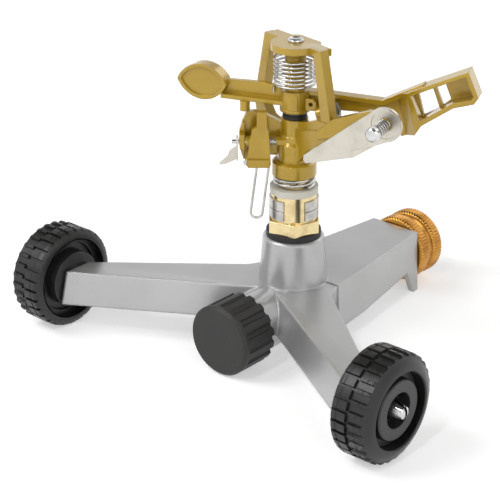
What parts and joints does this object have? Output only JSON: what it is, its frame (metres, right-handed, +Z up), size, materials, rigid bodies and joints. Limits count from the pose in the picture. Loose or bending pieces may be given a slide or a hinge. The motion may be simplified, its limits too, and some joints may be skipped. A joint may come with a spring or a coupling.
{
  "type": "impact sprinkler",
  "caption": "Impact sprinkler on a wheeled three-legged base, with swinging spring arm, trip lever, deflector plate, hose inlet and capped outlet.",
  "frame": {"origin": "centre of the footprint of the whole object's box, on the floor", "axes": "+X along the wheel axles, +Y from the capped outlet to the hose inlet, +Z up"},
  "size_m": [0.2106, 0.1764, 0.1425],
  "materials": {
    "base_paint": "silver-grey metallic paint, satin",
    "gold_paint": "gold metallic paint, semi-gloss",
    "wheel_black": "moulded black plastic, satin",
    "wheel_hub_black": "moulded black plastic, satin",
    "cap_black": "moulded black plastic, matt",
    "riser_brass": "machined, bright",
    "coupling_brass": "knurled, bright",
    "seal_rubber": "smooth",
    "bright_steel": "bright plated",
    "spring_steel": "drawn wire and strip",
    "satin_steel": "satin stainless",
    "nozzle_grey": "smooth",
    "pale_nylon": "smooth, pale",
    "dark_nylon": "smooth, dark"
  },
  "bodies": {
    "base": {"base_casting": "base_paint", "left_axle_pin": "bright_steel", "right_axle_pin": "bright_steel", "left_axle_washer": "bright_steel", "right_axle_washer": "bright_steel", "inlet_tailpiece": "riser_brass", "hose_washer": "seal_rubber", "base_gasket": "seal_rubber", "bearing_sleeve": "riser_brass", "bearing_washer": "pale_nylon", "bearing_spring": "spring_steel"},
    "left_wheel": {"left_tyre": "wheel_black", "left_wheel_hub": "wheel_hub_black"},
    "right_wheel": {"right_tyre": "wheel_black", "right_wheel_hub": "wheel_hub_black"},
    "inlet": {"inlet_coupling": "coupling_brass"},
    "cap_seal": {"outlet_seal": "seal_rubber"},
    "cap": {"outlet_cap": "cap_black"},
    "lower_collar": {"lower_trip_collar": "spring_steel"},
    "upper_collar": {"upper_trip_collar": "spring_steel"},
    "head": {"bearing_nipple": "riser_brass", "nipple_seal_washer": "pale_nylon", "sprinkler_body": "gold_paint", "nozzle_insert": "nozzle_grey", "fulcrum_pin": "bright_steel", "arm_seat_washer": "seal_rubber", "arm_slip_washer": "dark_nylon", "bracket_stud": "bright_steel", "trip_spring": "spring_steel", "screw_spring": "spring_steel"},
    "arm": {"impact_arm": "gold_paint", "arm_spring": "spring_steel"},
    "deflector": {"deflector_plate": "satin_steel"},
    "screw_carrier": {"screw_washer": "bright_steel"},
    "screw": {"diffuser_screw": "bright_steel"},
    "trip": {"trip_lever": "gold_paint", "trip_pin": "bright_steel", "trip_wire": "spring_steel", "trip_finger": "satin_steel"}
  },
  "joints": [
    {"name": "left_wheel_spin", "type": "hinge", "parent": "base", "child": "left_wheel", "pos_m": [-0.0935, -0.06475, 0.0235], "axis": [1, 0, 0], "continuous": true},
    {"name": "right_wheel_spin", "type": "hinge", "parent": "base", "child": "right_wheel", "pos_m": [0.0935, -0.06475, 0.0235], "axis": [1, 0, 0], "continuous": true},
    {"name": "inlet_swivel", "type": "hinge", "parent": "base", "child": "inlet", "pos_m": [0, 0.07925, 0.0168], "axis": [0, 1, 0], "continuous": true},
    {"name": "cap_travel", "type": "slide", "parent": "base", "child": "cap_seal", "axis": [0, -1, 0], "range_m": [0, 0.0132]},
    {"name": "cap_unscrew", "type": "hinge", "parent": "cap_seal", "child": "cap", "pos_m": [0, -0.05375, 0.0168], "axis": [0, -1, 0], "range_deg": [0, 2160]},
    {"name": "lower_collar_set", "type": "hinge", "parent": "base", "child": "lower_collar", "pos_m": [0, -0.00775, 0.0636], "axis": [0, 0, 1], "range_deg": [-60, 0]},
    {"name": "upper_collar_set", "type": "hinge", "parent": "base", "child": "upper_collar", "pos_m": [0, -0.00775, 0.0683], "axis": [0, 0, 1], "range_deg": [0, 60]},
    {"name": "head_turn", "type": "hinge", "parent": "base", "child": "head", "pos_m": [0, -0.00775, 0.09], "axis": [0, 0, 1], "range_deg": [-55, 185]},
    {"name": "arm_swing", "type": "hinge", "parent": "head", "child": "arm", "pos_m": [0, -0.00775, 0.115], "axis": [0, 0, 1], "range_deg": [0, 78], "stiffness_Nm_per_rad": 0.02, "deforming": ["arm_spring"]},
    {"name": "deflector_tilt", "type": "hinge", "parent": "head", "child": "deflector", "pos_m": [0.05028, -0.01016, 0.11595], "axis": [0.2419, -0.9703, 0], "range_deg": [-30, 15]},
    {"name": "screw_travel", "type": "slide", "parent": "head", "child": "screw_carrier", "axis": [0.2419, -0.9703, 0], "range_m": [-0.004, 0.003], "deforming": ["screw_spring"]},
    {"name": "screw_turn", "type": "hinge", "parent": "screw_carrier", "child": "screw", "pos_m": [0.05028, -0.01016, 0.11595], "axis": [0.2419, -0.9703, 0], "range_deg": [-1800, 1350]},
    {"name": "trip_tilt", "type": "hinge", "parent": "head", "child": "trip", "pos_m": [-0.00935, -0.01986, 0.0966], "axis": [-0.7547, -0.6561, 0], "range_deg": [-8, 8]}
  ],
  "couplings": [
    {"joint": "cap_unscrew", "follows": "cap_travel", "rad_per_m": 2856},
    {"joint": "screw_turn", "follows": "screw_travel", "rad_per_m": 7854}
  ]
}
